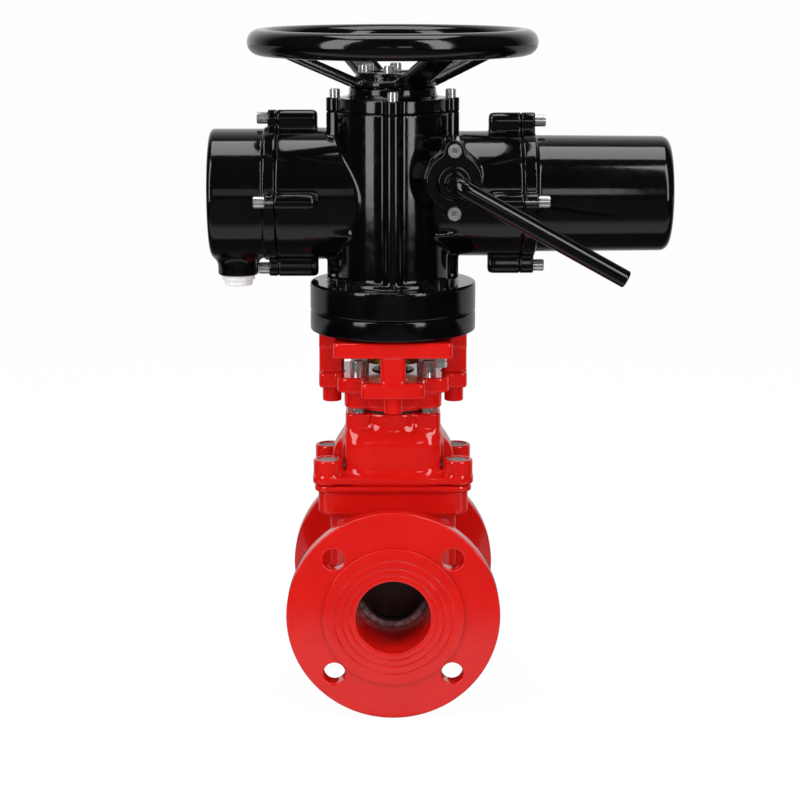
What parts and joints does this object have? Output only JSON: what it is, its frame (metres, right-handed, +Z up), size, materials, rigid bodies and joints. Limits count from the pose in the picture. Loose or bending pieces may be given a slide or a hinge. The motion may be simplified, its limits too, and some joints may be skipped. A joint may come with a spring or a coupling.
{
  "type": "motor-operated gate valve",
  "caption": "Flanged gate valve with a rubber-seated wedge, a bolted yoke, an electric actuator with a worm gear, a clutch lever and a handwheel for turning by hand.",
  "frame": {"origin": "centre of the bore in the plane of the inlet flange's bolted face, 3 mm behind the raised sealing face", "axes": "+Y along the pipe from inlet to outlet, +Z up the stem to the handwheel, +X towards the motor; the stem stands at y = 92 mm"},
  "size_m": [0.4075, 0.25, 0.5897],
  "materials": {
    "red_epoxy": "glossy red fusion-bonded epoxy on ductile iron",
    "black_enamel": "glossy black enamel on cast aluminium or steel",
    "stainless_steel": "stainless steel, knurled and turned",
    "dark_steel": "plain machined steel, oiled",
    "ductile_iron": "bare ductile iron",
    "brass": "turned brass",
    "black_rubber": "black EPDM or NBR, satin",
    "grey_wax": "grey sealing wax in the screw recesses",
    "white_plastic": "white moulded plastic",
    "bare_aluminium": "bare cast aluminium",
    "green_board": "green lacquered circuit board",
    "grey_plastic": "grey moulded plastic"
  },
  "bodies": {
    "valve": {"valve_body": "red_epoxy", "bonnet": "red_epoxy", "bonnet_gasket": "black_rubber", "bonnet_screws": "stainless_steel", "screw_wax_plugs": "grey_wax", "stem_thrust_washers": "brass", "stem_seal_carrier": "brass", "stem_o_rings": "black_rubber", "dust_wiper": "black_rubber", "neck_gasket": "black_rubber", "yoke": "red_epoxy", "neck_screws": "stainless_steel", "earth_screw": "stainless_steel", "neck_spring_washers": "stainless_steel", "yoke_screws": "red_epoxy", "base_ring": "black_enamel", "base_screws": "black_enamel", "thrust_bearings": "dark_steel", "actuator_housing": "black_enamel", "worm_bearings": "dark_steel", "motor_bearings": "dark_steel", "motor_end_shield": "bare_aluminium", "motor_stator": "dark_steel", "motor_cover": "black_enamel", "motor_cover_seal": "black_rubber", "motor_cover_screws": "stainless_steel", "electrical_cover": "black_enamel", "electrical_cover_seal": "black_rubber", "electrical_cover_screws": "stainless_steel", "control_board": "green_board", "terminal_block": "grey_plastic", "cable_plug": "white_plastic", "top_cover": "black_enamel", "top_cover_seal": "black_rubber", "top_cover_screws": "stainless_steel", "hand_shaft_seal": "black_rubber", "fork_guide_pins": "dark_steel", "lever_cover": "black_enamel", "lever_cover_seal": "black_rubber", "lever_cover_screws": "stainless_steel"},
    "wedge": {"wedge_core": "ductile_iron", "wedge_rubber": "black_rubber", "wedge_nut": "brass"},
    "drive": {"stem": "stainless_steel", "stem_key": "dark_steel", "drive_bush": "brass", "output_shaft": "dark_steel"},
    "hand_drive": {"handwheel": "black_enamel", "handwheel_screws": "stainless_steel", "hand_shaft": "dark_steel"},
    "worm_wheel": {"worm_wheel": "brass"},
    "worm": {"worm_shaft": "dark_steel", "worm_spur_gear": "dark_steel"},
    "rotor": {"motor_rotor": "dark_steel", "motor_pinion": "dark_steel"},
    "clutch": {"clutch_ring": "dark_steel"},
    "fork": {"clutch_fork": "dark_steel"},
    "lever": {"lever_shaft": "dark_steel", "clutch_lever": "black_enamel"}
  },
  "joints": [
    {"name": "handwheel_turn", "type": "hinge", "parent": "valve", "child": "hand_drive", "pos_m": [0, 0.092, 0.46], "axis": [0, 0, 1], "range_deg": [0, 6120]},
    {"name": "stem_turn", "type": "hinge", "parent": "valve", "child": "drive", "pos_m": [0, 0.092, 0.23], "axis": [0, 0, 1], "range_deg": [0, 6120]},
    {"name": "wedge_lift", "type": "slide", "parent": "valve", "child": "wedge", "axis": [0, 0, 1], "range_m": [0, 0.068]},
    {"name": "motor_spin", "type": "hinge", "parent": "valve", "child": "rotor", "pos_m": [0.17, 0.109, 0.3539], "axis": [1, 0, 0], "continuous": true},
    {"name": "worm_spin", "type": "hinge", "parent": "valve", "child": "worm", "pos_m": [0, 0.131, 0.3539], "axis": [1, 0, 0], "continuous": true},
    {"name": "worm_wheel_spin", "type": "hinge", "parent": "valve", "child": "worm_wheel", "pos_m": [0, 0.092, 0.3539], "axis": [0, 0, 1], "continuous": true},
    {"name": "lever_turn", "type": "hinge", "parent": "valve", "child": "lever", "pos_m": [0.0515, 0.037, 0.3734], "axis": [0, 1, 0], "range_deg": [0, 35]},
    {"name": "fork_lift", "type": "slide", "parent": "valve", "child": "fork", "axis": [0, 0, 1], "range_m": [0, 0.008]},
    {"name": "clutch_lift", "type": "slide", "parent": "drive", "child": "clutch", "axis": [0, 0, 1], "range_m": [0, 0.008]}
  ],
  "couplings": [
    {"joint": "stem_turn", "follows": "handwheel_turn", "ratio": 1},
    {"joint": "wedge_lift", "follows": "handwheel_turn", "m_per_rad": 0.00063662},
    {"joint": "worm_spin", "follows": "motor_spin", "ratio": -0.57143},
    {"joint": "worm_wheel_spin", "follows": "motor_spin", "ratio": -0.019048},
    {"joint": "fork_lift", "follows": "lever_turn", "m_per_rad": 0.013096},
    {"joint": "clutch_lift", "follows": "lever_turn", "m_per_rad": 0.013096}
  ]
}
